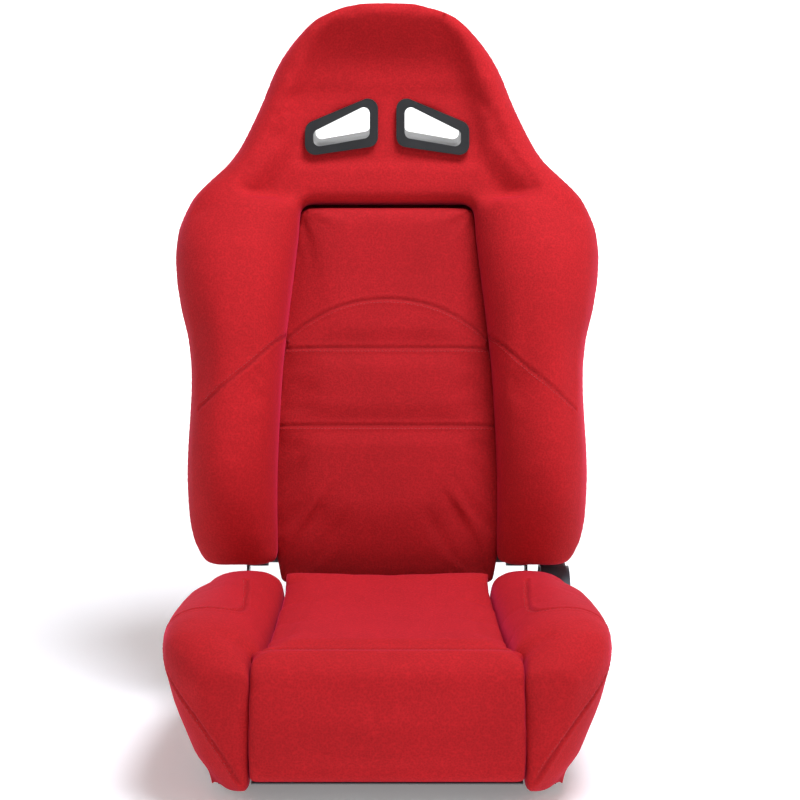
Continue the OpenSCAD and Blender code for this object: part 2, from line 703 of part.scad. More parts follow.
// the head bow: up, in along a 3-4-5 diagonal, up beside the slots, over, and down the same way
lean = atan2(3, 4);
lean_bend = 45;
lean_t = lean_bend / 3;                     // tangent length of a bend through that angle
lean_s = (tube_x - bow_x) * 4 / 3;
bow_low = 40 - lean_t;
bow_diagonal = (tube_x - bow_x) * 5 / 3 - 2 * lean_t;
bow_side = bow_s - upright_top - 40 - lean_s - lean_t - bow_bend;
bow_steps = [[bow_low, lean, lean_bend], [bow_diagonal, -lean, lean_bend], [bow_side, 90, bow_bend],
  [2 * (bow_x - bow_bend), 90, bow_bend], [bow_side, -lean, lean_bend],
  [bow_diagonal, lean, lean_bend], [bow_low, 0, 1]];
module back_top_bow() {
  color(STEEL) on_back() translate([tube_x, 0, upright_top]) bent_tube(bow_steps, tube_r, tube_wall);
}

module bar(s, r) {
  difference() {
    translate([-tube_x, 0, s]) rotate([0, 90, 0]) linear_extrude(2 * tube_x) ring_2d(r, tube_wall);
    children();
  }
}

lower_tube_s = 66;
module back_lower_tube() {
  color(STEEL) on_back() bar(lower_tube_s, 10)
    for (x = [-1, 1]) translate([x * tube_x, 0, upright_low - 10]) cylinder(h = 60, r = tube_r);
}

harness_bar_s = upright_top + 112;
module harness_bar() {
  color(STEEL) on_back() bar(harness_bar_s, 10)
    for (x = [-1, 1]) {
      translate([x * bow_x, 0, harness_bar_s - 20]) cylinder(h = 40, r = tube_r);
      translate([x * (bow_x + 50), 0, harness_bar_s]) cube(100, center = true);
    }
}

back_spring_s = [150, 210, 270, 330, 390, 450];
back_spring_pitch = 24;
back_spring_legs = 11;
back_spring_lead = (2 * tube_x - 8 - back_spring_pitch * back_spring_legs) / 2;
back_spring_d = -tube_r - back_wire_r - 0.1;
module back_springs() {
  color(ZINC) on_back() for (s = back_spring_s)
    translate([-tube_x + 4, back_spring_d, s]) rotate([0, 90, 0])
      bent_tube(zigzag(36, back_spring_pitch, back_spring_legs, back_spring_lead), back_wire_r);
}

module back_spring_clips() {
  h = 2 * back_wire_r + 1.6;
  color(STEEL) on_back() for (s = back_spring_s, x = [-1, 1])
    translate([x * tube_x, back_spring_d, s]) difference() {
      translate([-5, back_wire_r + 0.1 - h, -5]) cube([10, h, 10]);
      translate([-10, 0, 0]) rotate([0, 90, 0]) cylinder(h = 20, r = back_wire_r + 0.1);
      translate([-10, 0, -back_wire_r - 0.1]) cube([20, h, 2 * back_wire_r + 0.2]);
    }
}

// ================= backrest pads =================
module back_insert_pad() {
  rows = concat(steps(30, 90, 4), steps(125, insert_top_s, 9));
  edge = 14;
  xs = [for (a = [-90:15:90]) sin(a)];
  function front_row(s) = let (w = insert_half(s) - gap, f = curve(insert_front, s))
    [for (u = xs) [u * w, f + edge * (1 - sqrt(1 - 0.98 * u ^ 8)), s]];
  function rear_row(s) = let (w = insert_half(s) - gap) [for (u = xs) [u * w, frame_front, s]];
  color(RED_SHADE) on_back() pad([for (s = rows) front_row(s)], [for (s = rows) rear_row(s)]);
}

module back_bolster() {
  rows = concat(steps(back_low, 130, 5), steps(165, head_low - gap, 10));
  corner_x = arm_x + plate_t + bolt_head + 2;
  cols = 6;
  function tip(s, d) = s - tip_drop * max(0, 1 - (s - back_low) / 70) * min(1, max(0, (-d - 25) / 45));
  function front_row(s) =
    let (xi = insert_half(min(s, insert_top_s)) + gap, xo = back_half(s), c = curve(crest_front, s),
         f = curve(insert_front, min(s, insert_top_s)) + 6, xc = mix(xi, xo, 0.58), w = -52)
    concat([for (i = [0:cols]) let (a = 15 * i, d = f + (c - f) * sin(a))
        [xc - (xc - xi) * cos(a), d, tip(s, d)]],
      [for (i = [1:5]) let (a = 18 * i, d = w + (c - w) * cos(a)) [xc + (xo - xc) * sin(a), d, tip(s, d)]],
      [[xo - 2, -20, s], [xo - 6, 8, s], [xo - 14, frame_rear, s]]);
  function rear_row(s) = let (xi = insert_half(min(s, insert_top_s)) + gap)
    concat([for (i = [0:cols]) [mix(xi, corner_x, i / cols), frame_front, s]],
      [for (i = [1:8]) [corner_x, mix(frame_front, frame_rear, i / 8), s]]);
  on_back() pad([for (s = rows) rear_row(s)], [for (s = rows) front_row(s)]);
}

module back_bolster_right() {
  color(RED) back_bolster();
}

module back_bolster_left() {
  color(RED) mirrored() back_bolster();
}

module slot_prism(grow) {
  x0 = slot_x - grow;
  x1 = slot_x + slot_l + grow;
  h0 = slot_h / 2 + grow;
  h1 = slot_h * 0.27 + grow;
  r = 8 + grow / 2;
  translate([0, hinge_y + 300, slot_z]) rotate([90, 0, 0]) linear_extrude(400) hull() {
    translate([x0 + r, -h0 + r]) circle(r);
    translate([x0 + r, h0 - r]) circle(r);
    translate([x1 - r, -h1 - slot_drop + r]) circle(r);
    translate([x1 - r, h1 - slot_drop - r]) circle(r);
  }
}

module head_pad() {
  rows = head_rows;
  angles = [for (a = [-90:10:90]) a];
  side_room = tube_r + 4;
  corner_s = bow_s - bow_bend;
  straight_s = upright_top + 130;
  function cavity(s) = s > bow_s + side_room ? 0
    : s > corner_s ? bow_x - bow_bend + sqrt((bow_bend + side_room) ^ 2 - (s - corner_s) ^ 2)
    : s > straight_s ? bow_x + side_room
    : mix(tube_x, bow_x, (s - head_low) / (straight_s - head_low)) + side_room;
  function front_row(s) =
    let (w = back_half(s), f = curve(head_front, s), rim = curve(head_rim, s), r = curve(rear_face, s))
    [for (a = angles) let (u = abs(sin(a)), k = min(max((u - 0.67) / 0.18, 0), 1), side = mix(rim, r, 0.35))
      [w * sin(a), u < 0.85 ? mix(f, rim, k * k * (3 - 2 * k))
        : side + (rim - side) * sqrt(max(0, 1 - ((u - 0.85) / 0.15) ^ 2)), s]];
  function rear_row(s) =
    let (w = back_half(s) - 12, c = cavity(s), r = curve(rear_face, s), n = len(angles) - 1)
    [for (i = [0:n]) let (j = i - n / 2, side = j < 0 ? -1 : 1, k = abs(j))
      c == 0 ? [w * sin(angles[i]), r, s]
        : k <= 6 ? [c * j / 6, frame_front, s] : [side * mix(c + 0.5, w, (k - 7) / 2), r, s]];
  color(RED) difference() {
    on_back() pad([for (s = rows) rear_row(s)], [for (s = rows) front_row(s)]);
    for (m = [0, 1]) mirror([m, 0, 0]) slot_prism(sleeve_t + 0.5);
  }
}

module back_rear_cover() {
  rows = concat(steps(back_low, head_low - 30, 9), [for (s = head_rows) if (s < crown_s - 8) s]);
  xs = [for (a = [-90:22.5:90]) sin(a)];
  function panel(s, off) = let (w = back_half(s) - 14, r = curve(rear_face, s) + off)
    [for (u = xs) [u * w, r - (off > 1 ? 3 * u ^ 6 : 0), s]];
  color(RED_SHADE) difference() {
    on_back() pad([for (s = rows) panel(s, rear_t)], [for (s = rows) panel(s, 0.3)]);
    for (m = [0, 1]) mirror([m, 0, 0]) slot_prism(sleeve_t + 0.5);
  }
}

bezel_front_d = -65.5;
bezel_t = 5;
module slab(d0, d1) {
  on_back() translate([-200, d0, 500]) cube([400, d1 - d0, 300]);
}

module harness_bezel() {
  difference() {
    union() {
      intersection() {
        slot_prism(rim_w);
        slab(bezel_front_d - bezel_t, bezel_front_d);
      }
      intersection() {
        slot_prism(sleeve_t);
        slab(bezel_front_d - bezel_t, frame_rear + rear_t + 1);
      }
    }
    slot_prism(0);
  }
}

module harness_bezel_right() {
  color(BLACK) harness_bezel();
}

module harness_bezel_left() {
  color(BLACK) mirrored() harness_bezel();
}

module harness_rear_trim() {
  color(BLACK) for (m = [0, 1]) mirror([m, 0, 0]) difference() {
    intersection() {
      slot_prism(rim_w - 2);
      slab(frame_rear + rear_t + 1, frame_rear + rear_t + 4);
    }
    slot_prism(0);
  }
}

base_side_plate_left();
base_side_plate_right();
front_cross_tube();
rear_cross_tube();
front_pan();
weld_nuts();
seat_springs();
spring_hooks();
seat_insert_pad();
seat_front_roll();
seat_bolster_left();
seat_bolster_right();
recliner_guide_disc();
recliner_pawl_upper();
recliner_pawl_lower();
recliner_ring();
recliner_retainer();
recliner_cam();
lever_shaft();
release_lever();
lever_grip();
lever_screw();
lever_return_spring();
recliner_cover();
cover_screws();
pivot_spindle();
pivot_bush();
pivot_nut();
clock_spring();
spring_pin();
back_arm_left();
back_arm_right();
arm_bolts();
back_upright_left();
back_upright_right();
back_top_bow();
back_lower_tube();
harness_bar();
back_springs();
back_spring_clips();
back_insert_pad();
back_bolster_left();
back_bolster_right();
head_pad();
back_rear_cover();
harness_bezel_left();
harness_bezel_right();
harness_rear_trim();
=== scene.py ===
# %% [markdown]
# A reclining racing seat in red knitted cloth, dressed round its engineering model. The frame below
# brings in every hard part at its true place, in metres: +Z is up, +X is the side of the recliner, and
# somebody in the seat looks towards -Y. The soft parts come in as plain solids, and this script makes the
# real upholstery from them.

# %% Load the frame
import math

import bpy
import numpy as np
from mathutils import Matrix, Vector
from mathutils.bvhtree import BVHTree


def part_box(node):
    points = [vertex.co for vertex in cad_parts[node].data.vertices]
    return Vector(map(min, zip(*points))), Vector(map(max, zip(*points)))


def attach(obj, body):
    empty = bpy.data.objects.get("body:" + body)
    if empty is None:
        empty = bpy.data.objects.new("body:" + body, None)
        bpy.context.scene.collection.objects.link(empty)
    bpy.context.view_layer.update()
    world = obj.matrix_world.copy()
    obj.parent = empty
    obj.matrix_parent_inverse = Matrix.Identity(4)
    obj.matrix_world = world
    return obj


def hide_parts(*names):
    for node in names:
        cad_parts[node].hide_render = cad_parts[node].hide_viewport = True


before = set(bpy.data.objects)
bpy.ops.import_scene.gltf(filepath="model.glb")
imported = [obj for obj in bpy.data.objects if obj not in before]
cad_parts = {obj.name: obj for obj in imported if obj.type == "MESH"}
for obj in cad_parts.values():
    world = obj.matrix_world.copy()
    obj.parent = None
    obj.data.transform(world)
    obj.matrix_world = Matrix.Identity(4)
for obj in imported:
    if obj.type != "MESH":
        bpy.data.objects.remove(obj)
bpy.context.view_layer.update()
MM = 0.001

# %% [markdown]
# The camera stands three metres away with a long lens, a little above the seat and looking down on it by
# eleven degrees, the way a catalogue picture is taken: the far end of the seat then looks hardly smaller
# than the near end. A small sideways shift of the lens sets the seat a little off the middle of the
# picture without turning the camera.

# %% Camera
PITCH = math.radians(11)
AIM = Vector((0, 0.060, 0.420))
AWAY = 3.0
scene = bpy.context.scene
lens = bpy.data.cameras.new("camera")
lens.sensor_width = 36
lens.lens = 109.8
lens.shift_x = 0.016
camera = bpy.data.objects.new("camera", lens)
camera.location = AIM + AWAY * Vector((0, -math.cos(PITCH), math.sin(PITCH)))
camera.rotation_euler = (math.pi / 2 - PITCH, 0, 0)
scene.collection.objects.link(camera)
scene.camera = camera
print("camera at", [round(v, 3) for v in camera.location])

# %% [markdown]
# Knitted cloth shows its colour best in wide, soft light. One big panel above and a little to the right
# makes the pale rims on the upper edges, a weak one from the front opens the shadows, a third lights the
# paper behind, and a white surround does the rest. The floor curves up all round as a photographer's
# paper does, so that no horizon shows from any side.


# %% Floor and light
def linear(code):
    """A colour written as sRGB hex, as the linear numbers that a shader wants."""
    parts = [int(code[i:i + 2], 16) / 255 for i in (1, 3, 5)]
    return tuple(p / 12.92 if p <= 0.04045 else ((p + 0.055) / 1.055) ** 2.4 for p in parts) + (1.0,)


def area_light(name, place, target, size, power, colour="#ffffff"):
    data = bpy.data.lights.new(name, "AREA")
    data.shape = "DISK"
    data.size = size
    data.energy = power
    data.color = linear(colour)[:3]
    lamp = bpy.data.objects.new(name, data)
    lamp.location = place
    lamp.rotation_euler = (Vector(target) - Vector(place)).to_track_quat("-Z", "Y").to_euler()
    scene.collection.objects.link(lamp)
    return lamp


def paper_bowl(flat=5.0, radius=1.5, rise=5.0, sectors=72):
    """A floor that curves up all round, so that the background is paper from every side."""
    quarter = np.linspace(0, math.pi / 2, 13)
    turn = [(flat + radius * math.sin(a), radius * (1 - math.cos(a))) for a in quarter]
    section = [(flat / 3, 0.0), (2 * flat / 3, 0.0)] + turn + [(flat + radius, rise)]
    angles = np.linspace(0, 2 * math.pi, sectors, endpoint=False)
    points = [(r * math.cos(a), r * math.sin(a), z) for r, z in section for a in angles] + [(0, 0, 0)]
    centre = len(points) - 1
    faces = [(centre, k, (k + 1) % sectors) for k in range(sectors)]
    for ring in range(len(section) - 1):
        low, high = ring * sectors, (ring + 1) * sectors
        for k in range(sectors):
            after = (k + 1) % sectors
            faces.append((low + k, high + k, high + after, low + after))
    data = bpy.data.meshes.new("paper_bowl")
    data.from_pydata(points, [], faces)
    for face in data.polygons:
        face.use_smooth = True
    bowl = bpy.data.objects.new("paper_bowl", data)
    scene.collection.objects.link(bowl)
    return bowl


bowl = paper_bowl()
area_light("top_panel", (0.7, -0.35, 3.0), (0, 0.15, 0.4), 1.4, 108, "#f3f5ff")
area_light("front_fill", (1.8, -3.0, 1.7), (0, 0.1, 0.4), 1.6, 5)
area_light("backdrop_wash", (0, 2.6, 3.2), (0, 6.4, 1.4), 3.0, 170)
world = bpy.data.worlds.new("surround")
world.use_nodes = True
surround = world.node_tree.nodes["Background"]
surround.inputs["Color"].default_value = (1, 1, 1, 1)
surround.inputs["Strength"].default_value = 0.08
scene.world = world
scene.view_settings.view_transform = "Standard"

# %% [markdown]
# Every finish is built by the same small helper. It adds one node, sets its values and joins its inputs,
# so that a material reads from top to bottom as a list of what happens to the surface.


# %% Helper for the finishes
def add(material, kind, settings=None, **inputs):
    """Adds a node: settings are its own options, inputs are numbers, colours or another node's output."""
    node = material.node_tree.nodes.new(kind)
    for name, value in (settings or {}).items():
        setattr(node, name, value)
    for name, value in inputs.items():
        socket = node.inputs[int(name[1:]) if name[:1] == "_" else name.replace("_", " ")]
        if isinstance(value, bpy.types.NodeSocket):
            material.node_tree.links.new(value, socket)
        else:
            socket.default_value = value
    return node


def new_material(name):
    material = bpy.data.materials.new(name)
    material.use_nodes = True
    material.node_tree.nodes.clear()
    return material


def finish_with(material, shader):
    out = material.node_tree.nodes.new("ShaderNodeOutputMaterial")
    material.node_tree.links.new(shader.outputs[0], out.inputs["Surface"])
    return material


def blended(material, factor, first, second, blend_type="MIX"):
    """Two colours mixed by a factor that runs from 0 to 1."""
    settings = {"data_type": "RGBA", "blend_type": blend_type}
    return add(material, "ShaderNodeMix", settings, _0=factor, _6=first, _7=second).outputs[2]


def two_tones(material, mask, first, second):
    """A colour that runs between two as the mask goes from 0 to 1."""
    return blended(material, mask, linear(first), linear(second))


paper = new_material("white_paper")
grain = add(paper, "ShaderNodeTexNoise", Scale=60.0, Detail=3.0).outputs["Fac"]
paper_colour = two_tones(paper, grain, "#f6f6f6", "#fafafa")
finish_with(paper, add(paper, "ShaderNodeBsdfPrincipled", Base_Color=paper_colour, Roughness=0.9,
                       Emission_Color=linear("#ffffff"), Emission_Strength=0.2))
bowl.data.materials.append(paper)

# %% [markdown]
# The cover is knitted polyester with a brushed face, glued to a few millimetres of foam. It has no gloss:
# what the eye sees is a deep red that turns pinkish where the surface curves away, because the fine hairs
# catch the light. The loops of the knit are 1.2 mm apart, which is too fine to show from three metres, so
# they are drawn 2.6 mm apart. A slow change of tone stands for the way that a dyed cloth takes the light
# over foam.

# %% Red cloth
LOOP = 2.6 * MM
FUZZ = 1.5 * MM                             # distance between the clumps of brushed hairs


def knitted_polyester(name, light_red, deep_red):
    cloth = new_material(name)
    place = add(cloth, "ShaderNodeTexCoord").outputs["Object"]
    patches = add(cloth, "ShaderNodeTexNoise", Vector=place,
                  Scale=11.0, Detail=3.0, Roughness=0.6).outputs["Fac"]
    loops = add(cloth, "ShaderNodeTexVoronoi", Vector=place,
                Scale=1 / LOOP, Randomness=0.9).outputs["Distance"]
    fuzz = add(cloth, "ShaderNodeTexNoise", Vector=place, Scale=1 / FUZZ, Detail=2.0).outputs["Fac"]
    # seam_shade is painted shade: the cloth turns dark red along the seam valleys
    seam = add(cloth, "ShaderNodeAttribute", {"attribute_name": "seam_shade"}).outputs["Fac"]
    dyed = two_tones(cloth, patches, deep_red, light_red)
    loop_grey = add(cloth, "ShaderNodeValToRGB", Fac=loops).outputs["Color"]
    knitted = blended(cloth, 0.35, dyed, loop_grey, "MULTIPLY")
    shaded = blended(cloth, seam, knitted, linear("#4a0a10"))
    loop_bump = add(cloth, "ShaderNodeBump", {"invert": True},
                    Height=loops, Strength=0.35, Distance=0.5 * MM)
    fuzz_bump = add(cloth, "ShaderNodeBump", Height=fuzz, Strength=0.25, Distance=0.3 * MM,
                    Normal=loop_bump.outputs["Normal"])
    return finish_with(cloth, add(
        cloth, "ShaderNodeBsdfPrincipled", Base_Color=shaded, Roughness=0.88, IOR=1.45,
        Sheen_Weight=0.42, Sheen_Roughness=0.35, Sheen_Tint=linear("#ff3a6c"),
        Specular_IOR_Level=0.25, Normal=fuzz_bump.outputs["Normal"]))


red_cloth = knitted_polyester("knitted_polyester_red", "#c51b22", "#ae161b")
red_panel = knitted_polyester("knitted_polyester_panel", "#bd1a22", "#a8161b")
print("cloth loops drawn every", LOOP / MM, "mm")

# %% [markdown]
# The hard parts. Frame plates and tubes are cold-rolled steel with a black powder coat: a fine
# orange-peel skin with a soft gloss, worn a little brighter along the edges. Springs, bolts and the
# recliner's discs are zinc-plated steel: a cool grey with faint streaks where the plating ran. The slot
# rims and the recliner cover are injection-moulded ABS with a spark-eroded grain, one black and one slate
# grey. The lever's grip is moulded rubber, the bush is nylon.


# %% Hard finishes
def powder_coated_steel():
    coat = new_material("powder_coated_steel")
    place = add(coat, "ShaderNodeTexCoord").outputs["Object"]
    peel = add(coat, "ShaderNodeTexNoise", Vector=place, Scale=1 / (3.0 * MM), Detail=1.0).outputs["Fac"]
    edge = add(coat, "ShaderNodeNewGeometry").outputs["Pointiness"]
    worn = add(coat, "ShaderNodeMapRange", Value=edge,
               From_Min=0.52, From_Max=0.6, To_Max=0.7).outputs["Result"]
    dust = add(coat, "ShaderNodeTexNoise", Vector=place, Scale=22.0, Detail=4.0).outputs["Fac"]
    black = two_tones(coat, dust, "#18191b", "#232427")
    shade = blended(coat, worn, black, linear("#4a4c50"))
    bump = add(coat, "ShaderNodeBump", Height=peel, Strength=0.15, Distance=0.2 * MM).outputs["Normal"]
    rough = add(coat, "ShaderNodeMapRange", Value=dust, To_Min=0.38, To_Max=0.55).outputs["Result"]
    return finish_with(coat, add(coat, "ShaderNodeBsdfPrincipled",
                                 Base_Color=shade, Roughness=rough, IOR=1.5, Normal=bump))


def zinc_plated_steel():
    zinc = new_material("zinc_plated_steel")
    place = add(zinc, "ShaderNodeTexCoord").outputs["Object"]
    streak = add(zinc, "ShaderNodeTexNoise", Vector=place,
                 Scale=90.0, Detail=5.0, Distortion=1.5).outputs["Fac"]
    shade = two_tones(zinc, streak, "#8f949a", "#b9bdc2")
    rough = add(zinc, "ShaderNodeMapRange", Value=streak, To_Min=0.28, To_Max=0.5).outputs["Result"]
    bump = add(zinc, "ShaderNodeBump", Height=streak, Strength=0.1, Distance=0.1 * MM).outputs["Normal"]
    return finish_with(zinc, add(zinc, "ShaderNodeBsdfPrincipled",
                                 Base_Color=shade, Metallic=1.0, Roughness=rough, Normal=bump))


def moulded(name, dark, pale, grain_size, roughness, ior):
    """A moulded plastic or rubber: grain_size is the distance between the pits of its skin."""
    plastic = new_material(name)
    place = add(plastic, "ShaderNodeTexCoord").outputs["Object"]
    pits = add(plastic, "ShaderNodeTexVoronoi", Vector=place, Scale=1 / grain_size).outputs["Distance"]
    tone = add(plastic, "ShaderNodeTexNoise", Vector=place, Scale=35.0, Detail=3.0).outputs["Fac"]
    rough = add(plastic, "ShaderNodeMapRange", Value=tone, To_Min=roughness - 0.06, To_Max=roughness + 0.08)
    bump = add(plastic, "ShaderNodeBump", Height=pits, Strength=0.3, Distance=0.15 * MM).outputs["Normal"]
    return finish_with(plastic, add(
        plastic, "ShaderNodeBsdfPrincipled", Base_Color=two_tones(plastic, tone, dark, pale),
        Roughness=rough.outputs["Result"], IOR=ior, Normal=bump))


finishes = {
    "frame_paint": powder_coated_steel(),
    "zinc_steel": zinc_plated_steel(),
    "black_plastic": moulded("moulded_abs_black", "#0c0d0f", "#141518", 1.2 * MM, 0.38, 1.53),
    "slate_plastic": moulded("moulded_abs_slate", "#39434a", "#465158", 1.4 * MM, 0.5, 1.53),
    "grip_rubber": moulded("moulded_rubber_grip", "#161616", "#222120", 1.0 * MM, 0.75, 1.52),
    "nylon": moulded("moulded_nylon", "#d9d5c8", "#e8e4d8", 0.8 * MM, 0.45, 1.53),
    "red_cloth": red_cloth,
    "red_cloth_panel": red_panel,
}
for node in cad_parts.values():
    for index, slot_name in enumerate([m.name.split(".")[0] for m in node.data.materials]):
        node.data.materials[index] = finishes[slot_name]
print("finishes:", len(finishes), "on", len(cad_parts), "frame parts")

# %% [markdown]
# Pressed and moulded parts never have knife edges. A bevel modifier rounds the edges of the hard parts
# that show, by a fraction of a millimetre on steel and a little more on plastic, and leaves their own
# meshes alone.

# %% Soften the hard edges
EDGE_ROUND = {
    "harness_bezel_left": 1.2, "harness_bezel_right": 1.2, "harness_rear_trim": 0.7,
    "recliner_cover": 1.5, "lever_grip": 1.6, "release_lever": 0.5,
    "base_side_plate_left": 0.5, "base_side_plate_right": 0.5,
    "back_arm_left": 0.4, "back_arm_right": 0.4, "front_pan": 0.3,
}
for name, width in EDGE_ROUND.items():
    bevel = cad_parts[name].modifiers.new("edge", "BEVEL")
    bevel.width = width * MM
    bevel.segments = 3
    bevel.angle_limit = math.radians(40)
print("edges rounded on", len(EDGE_ROUND), "parts")

# %% [markdown]
# Upholstery starts from the plain solid of the engineering model. The steps below are the same for every
# pad: join the solids that one cover goes round, remesh them into an even skin, smooth away the corners,
# and let a cloth simulation blow it out. Foam under a cover does just that: it is cut full size and the
# cover holds it back along the seams, so the faces crown and the edges round off.


# %% From plain solid to skin
def join_solids(name, nodes):
    """One new mesh with the welded faces of these frame nodes."""
    points, faces = [], []
    for node in nodes:
        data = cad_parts[node].data
        start = len(points)
        points += [tuple(v.co) for v in data.vertices]
        faces += [[start + i for i in p.vertices] for p in data.polygons]
    data = bpy.data.meshes.new(name)
    data.from_pydata(points, [], faces)
    skin = bpy.data.objects.new(name, data)
    scene.collection.objects.link(skin)
    apply_modifier(skin, "WELD", merge_threshold=0.01 * MM)
    return skin


def apply_modifier(skin, kind, **settings):
    modifier = skin.modifiers.new(kind.lower(), kind)
    for key, value in settings.items():
        setattr(modifier, key, value)
    with bpy.context.temp_override(object=skin, active_object=skin, selected_objects=[skin]):
        bpy.ops.object.modifier_apply(modifier=modifier.name)


def points_of(skin):
    flat = np.empty(3 * len(skin.data.vertices), dtype=np.float32)
    skin.data.vertices.foreach_get("co", flat)
    return flat.reshape(-1, 3).astype(float)


def move_points(skin, points):
    skin.data.vertices.foreach_set("co", points.astype(np.float32).ravel())
    skin.data.update()


def normals_of(skin):
    flat = np.empty(3 * len(skin.data.vertices), dtype=np.float32)
    skin.data.vertex_normals.foreach_get("vector", flat)
    return flat.reshape(-1, 3).astype(float)


def neighbour_mean(skin):
    """A function that gives, for any value per point, the mean over each point's neighbours."""
    ends = np.empty(2 * len(skin.data.edges), dtype=np.int64)
    skin.data.edges.foreach_get("vertices", ends)
    a, b = ends.reshape(-1, 2).T
    count = np.bincount(np.r_[a, b], minlength=len(skin.data.vertices)).clip(1)

    def mean(values):
        columns = [np.bincount(a, column[b], len(count)) + np.bincount(b, column[a], len(count))
                   for column in values.T]
        return np.stack(columns, 1) / count[:, None]

    return mean


def smooth(skin, rounds, weight=None):
    """Taubin smoothing: each round pulls points to their neighbours, then pushes back, so nothing shrinks."""
    points = points_of(skin)
    mean = neighbour_mean(skin)
    share = np.ones((len(points), 1)) if weight is None else weight[:, None]
    for _ in range(rounds):
        points += 0.6 * share * (mean(points) - points)
        points -= 0.55 * share * (mean(points) - points)
    move_points(skin, points)


def skin_of(name, nodes, voxel, rounds):
    skin = join_solids(name, nodes)
    apply_modifier(skin, "REMESH", mode="VOXEL", voxel_size=voxel, use_smooth_shade=True)
    smooth(skin, rounds)
    print(name, "skin:", len(skin.data.vertices), "points")
    return skin


# %% [markdown]
# The cloth simulation needs the skin a little inside its final shape. Every point is then free to move
# outwards, and how far it went is capped, so the pad stays in the room that the engineering model gives
# it. The move is also weighted: along a seam, round a slot rim or where two pads meet, the cover is held
# down and hardly moves.


# %% Blow the skin out
def inflate(skin, hold, cap, pressure=4.0, frames=20):
    """Cloth with air pressure inside. hold is 0 where the skin is free and 1 where it is sewn down."""
    start = points_of(skin)
    group = skin.vertex_groups.new(name="sewn")
    for index in np.flatnonzero(hold > 0.98).tolist():
        group.add([index], 1.0, "REPLACE")
    cloth = skin.modifiers.new("cloth", "CLOTH")
    settings = cloth.settings
    settings.quality = 4
    settings.mass = 0.3
    settings.tension_stiffness = settings.compression_stiffness = 12
    settings.shear_stiffness = 6
    settings.bending_stiffness = 0.6
    settings.use_pressure = True
    settings.uniform_pressure_force = pressure
    settings.effector_weights.gravity = 0
    settings.vertex_group_mass = group.name
    cloth.collision_settings.use_collision = False
    for number in range(1, frames + 1):
        scene.frame_set(number)
    blown = skin.evaluated_get(bpy.context.evaluated_depsgraph_get())
    flat = np.empty(3 * len(start), dtype=np.float32)
    blown.data.vertices.foreach_get("co", flat)
    moved = flat.reshape(-1, 3).astype(float) - start
    skin.modifiers.remove(cloth)
    skin.vertex_groups.remove(group)
    scene.frame_set(1)
    far = np.linalg.norm(moved, axis=1)
    moved *= (cap * np.tanh(far / cap) / far.clip(1e-9))[:, None]
    move_points(skin, start + moved * (1 - hold)[:, None])
    print(skin.name, "moved up to", round(float(np.abs(moved).max()) / MM, 1), "mm")


def fade(distance, near, far):
    """1 up to near, 0 beyond far, and a smooth step between."""
    t = np.clip((far - distance) / (far - near), 0, 1)
    return t * t * (3 - 2 * t)


# %% [markdown]
# A sewn seam is where two panels meet, turn under and are held by the thread. It shows as a fine valley
# with a soft roll on each side, and the cloth puckers a little at every few stitches. A groove texture
# could fake it, but a real valley catches the light properly from every side, so the finely divided skin
# is pushed in along the line. The cloth in the valley is also darkened there, as painted shade.


# %% Seams
def distance_to_lines(points, lines):
    """For each point: the distance to the nearest of the lines, and how far along that line it is."""
    best = np.full(len(points), 1e9)
    along = np.zeros(len(points))
    for line in lines:
        line = np.asarray(line, float)
        run = 0.0
        near = np.flatnonzero(((points > line.min(0) - 0.03) & (points < line.max(0) + 0.03)).all(1))
        p = points[near]
        for a, b in zip(line[:-1], line[1:]):
            step = b - a
            length = np.linalg.norm(step)
            t = np.clip((p - a) @ step / (length * length), 0, 1)
            gap = np.linalg.norm(p - a - t[:, None] * step, axis=1)
            closer = gap < best[near]
            best[near[closer]] = gap[closer]
            along[near[closer]] = run + t[closer] * length
            run += length
    return best, along


def rounded_path(points, rounds=3, pace=0.006):
    """A smooth line through a few points by corner cutting, then points at an even pace."""
    line = np.asarray(points, float)
    for _ in range(rounds):
        cut = [line[0]]
        for a, b in zip(line[:-1], line[1:]):
            cut += [0.75 * a + 0.25 * b, 0.25 * a + 0.75 * b]
        line = np.array(cut + [line[-1]])
    run = np.r_[0, np.cumsum(np.linalg.norm(np.diff(line, axis=0), axis=1))]
    even = np.linspace(0, run[-1], max(2, int(run[-1] / pace)))
    return np.stack([np.interp(even, run, column) for column in line.T], 1)


def tree_of(skin):
    data = skin.data
    return BVHTree.FromPolygons([v.co for v in data.vertices], [p.vertices for p in data.polygons])


def lay_on(skin, line, direction=None):
    """Drops each point of a line onto the skin: along a direction, or to the nearest place."""
    tree = tree_of(skin)
    laid = []
    for point in line:
        hit = None
        if direction is not None:
            way = Vector(direction).normalized()
            hit = tree.ray_cast(Vector(point) - way * 0.4, way)[0]
        laid.append(hit if hit is not None else tree.find_nearest(Vector(point))[0])
    return np.array(laid)


def sew(skin, lines, width=1.8, depth=1.5, roll=0.45, shade=0.3):
    """Pushes a valley into the skin along each line, and paints shade into it through an attribute."""
    points, normals = points_of(skin), normals_of(skin)
    gap, along = distance_to_lines(points, lines)
    gap = gap / MM
    pucker = 1 + 0.25 * np.sin(2 * math.pi * along / (9 * MM))
    valley = np.exp(-(gap / width) ** 2)
    rolls = np.exp(-((gap - 2.6 * width) / (1.3 * width)) ** 2)
    move_points(skin, points + normals * ((roll * rolls * pucker - depth * valley) * MM)[:, None])
    layers = skin.data.attributes
    layer = layers.get("seam_shade") or layers.new("seam_shade", "FLOAT", "POINT")
    old = np.empty(len(points), dtype=np.float32)
    layer.data.foreach_get("value", old)
    # painted shade along the seam valley, darkest at its bottom
    line_shade = shade * np.exp(-(gap / (0.8 * width)) ** 2)
    layer.data.foreach_set("value", np.maximum(old, line_shade).astype(np.float32))


def divide(skin):
    apply_modifier(skin, "SUBSURF", levels=1, render_levels=1)


